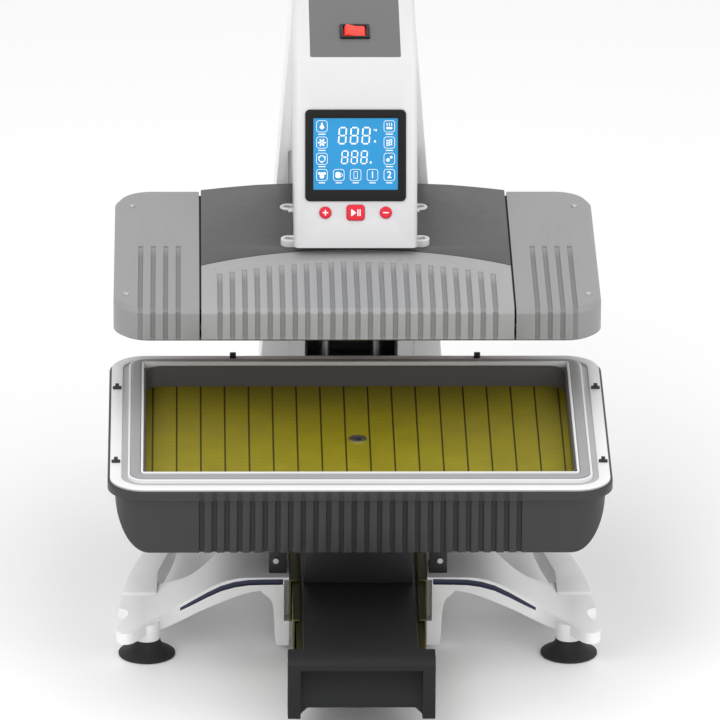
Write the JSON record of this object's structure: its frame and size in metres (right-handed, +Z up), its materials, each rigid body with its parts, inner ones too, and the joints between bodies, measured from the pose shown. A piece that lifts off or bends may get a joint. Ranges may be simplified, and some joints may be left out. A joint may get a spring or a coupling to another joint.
{
  "type": "vacuum heat press",
  "caption": "Vacuum heat press with a heated head that comes down on a pull-out tray, a leaning control box on a column, and suction feet.",
  "frame": {"origin": "on the floor under the middle of the whole machine's box, drawer pulled out", "axes": "+Z up, -Y to the operator (drawer pulls out towards -Y), +X to the operator's right"},
  "size_m": [0.51, 0.796, 0.546],
  "materials": {
    "cast_paint": "cast, satin light grey paint",
    "white_shell": "satin white",
    "head_shell": "cast, satin mid grey paint",
    "dark_cover": "cast, satin dark grey paint",
    "tub_black": "fine moulded grain",
    "rim_metal": "polished",
    "seal_silicone": "soft matt",
    "pan_dark": "matt",
    "bed_coating": "olive heat-resistant coating",
    "foot_rubber": "matt",
    "bright_steel": "brushed",
    "zinc_slide": "yellow zinc plate",
    "black_steel": "matt black",
    "handle_grey": "fine moulded grain",
    "screen_blue": "lit display window",
    "bezel_black": "gloss",
    "button_red": "gloss",
    "roof_grey": "fine grain",
    "motor_metal": "satin",
    "insulation_wool": "matted fibre",
    "membrane_silicone": "smooth silicone",
    "heater_metal": "machined",
    "dark_steel": "satin"
  },
  "bodies": {
    "frame": {"base_casting_left": "cast_paint", "base_casting_right": "cast_paint", "base_bridge": "cast_paint", "foot_front_left": "foot_rubber", "foot_front_right": "foot_rubber", "foot_rear_left": "foot_rubber", "foot_rear_right": "foot_rubber", "foot_studs": "bright_steel", "front_plate_left": "black_steel", "front_plate_right": "black_steel", "front_plate_screws": "bright_steel", "slide_outer_left": "zinc_slide", "slide_outer_right": "zinc_slide", "column_shell": "cast_paint", "column_channel": "dark_steel", "guide_rod_left": "bright_steel", "guide_rod_right": "bright_steel", "power_inlet": "bezel_black", "arm_shell": "white_shell", "roof_panel": "roof_grey", "switch_bezel": "bezel_black", "display_bezel": "bezel_black", "display_screen": "screen_blue", "motor_plate": "dark_steel", "lift_gearbox": "motor_metal", "lift_motor": "motor_metal"},
    "drawer": {"tray_tub": "tub_black", "tray_rim": "rim_metal", "rim_seal": "seal_silicone", "rim_clips": "black_steel", "tray_pan": "pan_dark", "bed_plate": "bed_coating", "vacuum_port": "bright_steel", "pedestal": "black_steel", "vacuum_pump": "motor_metal", "carriage": "black_steel", "drawer_handle": "handle_grey", "slide_inner_left": "zinc_slide", "slide_inner_right": "zinc_slide"},
    "slide_middle_left": {"slide_middle_left": "zinc_slide"},
    "slide_middle_right": {"slide_middle_right": "zinc_slide"},
    "head": {"head_cap_left": "head_shell", "head_cap_right": "head_shell", "head_front_cover": "head_shell", "head_rear_cover": "dark_cover", "heater_plate": "heater_metal", "insulation": "insulation_wool", "membrane_frame": "dark_steel", "membrane": "membrane_silicone", "hanger_flange": "white_shell", "hanger_screws": "bright_steel", "neck_bracket": "dark_steel", "ram_tube": "bright_steel", "lead_screw": "bright_steel", "cap_screws": "bright_steel"},
    "switch_rocker": {"switch_rocker": "button_red"},
    "button_plus": {"button_plus": "button_red"},
    "button_minus": {"button_minus": "button_red"},
    "button_start": {"button_start": "button_red"}
  },
  "joints": [
    {"name": "drawer_slide", "type": "slide", "parent": "frame", "child": "drawer", "axis": [0, 1, 0], "range_m": [0, 0.2]},
    {"name": "slide_left", "type": "slide", "parent": "frame", "child": "slide_middle_left", "axis": [0, 1, 0], "range_m": [0, 0.1]},
    {"name": "slide_right", "type": "slide", "parent": "frame", "child": "slide_middle_right", "axis": [0, 1, 0], "range_m": [0, 0.1]},
    {"name": "head_lift", "type": "slide", "parent": "frame", "child": "head", "axis": [0, 0, -1], "range_m": [0, 0.0717]},
    {"name": "power_rock", "type": "hinge", "parent": "frame", "child": "switch_rocker", "pos_m": [0, 0.21209, 0.53348], "axis": [0, 0.9957, 0.0931], "range_deg": [-16, 0]},
    {"name": "button_plus_press", "type": "slide", "parent": "frame", "child": "button_plus", "axis": [0, 0.9474, -0.32], "range_m": [0, 0.0012], "stiffness_N_per_m": 400},
    {"name": "button_minus_press", "type": "slide", "parent": "frame", "child": "button_minus", "axis": [0, 0.9474, -0.32], "range_m": [0, 0.0012], "stiffness_N_per_m": 400},
    {"name": "button_start_press", "type": "slide", "parent": "frame", "child": "button_start", "axis": [0, 0.9474, -0.32], "range_m": [0, 0.0012], "stiffness_N_per_m": 400}
  ],
  "couplings": [
    {"joint": "slide_left", "follows": "drawer_slide", "ratio": 0.5},
    {"joint": "slide_right", "follows": "drawer_slide", "ratio": 0.5}
  ]
}
